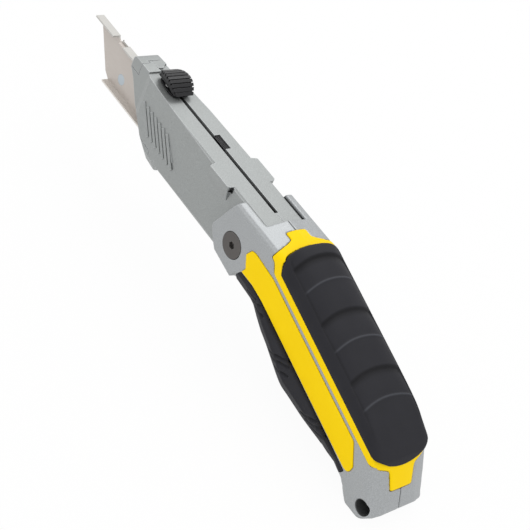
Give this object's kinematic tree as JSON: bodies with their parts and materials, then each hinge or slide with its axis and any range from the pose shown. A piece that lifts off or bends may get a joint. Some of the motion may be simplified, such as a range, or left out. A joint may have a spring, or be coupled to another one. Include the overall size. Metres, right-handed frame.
{
  "type": "folding utility knife",
  "caption": "Folding utility knife: die-cast shells, sliding steel blade carrier with thumb slider and magnet, bent handle with soft back pad, coloured ring, side strips and lanyard hole.",
  "frame": {"origin": "bottom centre of the bounding box with the nose unfolded and the carrier run out", "axes": "+X towards the blade end, +Y to the left side, +Z towards the back of the knife"},
  "size_m": [0.2197, 0.0264, 0.0522],
  "materials": {
    "silver_metal": "fine speckled silver paint",
    "dark_steel": "dark blackened steel",
    "spring_steel": "bright spring steel",
    "carrier_steel": "satin bare steel sheet",
    "magnet": "nickel plated",
    "black_plastic": "matte moulded plastic",
    "yellow_plastic": "satin moulded plastic",
    "black_rubber": "soft matte moulded grip"
  },
  "bodies": {
    "handle": {"handle_left_shell": "silver_metal", "handle_right_shell": "silver_metal", "handle_screws": "dark_steel", "back_ring": "yellow_plastic", "back_pad": "black_rubber", "side_strip_left": "yellow_plastic", "side_strip_right": "yellow_plastic", "belly_grip_left": "black_rubber", "belly_grip_right": "black_rubber", "pivot_screw": "dark_steel", "pivot_sleeve": "spring_steel", "pivot_washers": "spring_steel"},
    "nose": {"nose_left_shell": "silver_metal", "nose_right_shell": "silver_metal", "nose_screw": "dark_steel", "window_insert": "black_plastic", "detent_strip": "spring_steel"},
    "carriage": {"blade_carrier": "carrier_steel", "carrier_magnet": "magnet", "slider_base": "black_plastic", "knob_springs": "spring_steel"},
    "button": {"slider_knob": "black_plastic", "detent_pawl": "spring_steel"},
    "lock": {"lock_leaf": "spring_steel"}
  },
  "joints": [
    {"name": "fold", "type": "hinge", "parent": "handle", "child": "nose", "pos_m": [-0.01013, 0, 0.03283], "axis": [0, 1, 0], "range_deg": [0, 150]},
    {"name": "slide", "type": "slide", "parent": "nose", "child": "carriage", "axis": [1, 0, 0], "range_m": [-0.057, 0]},
    {"name": "press", "type": "slide", "parent": "carriage", "child": "button", "axis": [0, 0, -1], "range_m": [0, 0.0012], "stiffness_N_per_m": 1500, "springref_m": -0.001, "deforming": ["knob_springs"]},
    {"name": "lock_press", "type": "hinge", "parent": "handle", "child": "lock", "pos_m": [-0.06307, -0.0097, 0.02166], "axis": [0.284, 0, -0.9588], "range_deg": [0, 1.2], "stiffness_Nm_per_rad": 0.5}
  ]
}
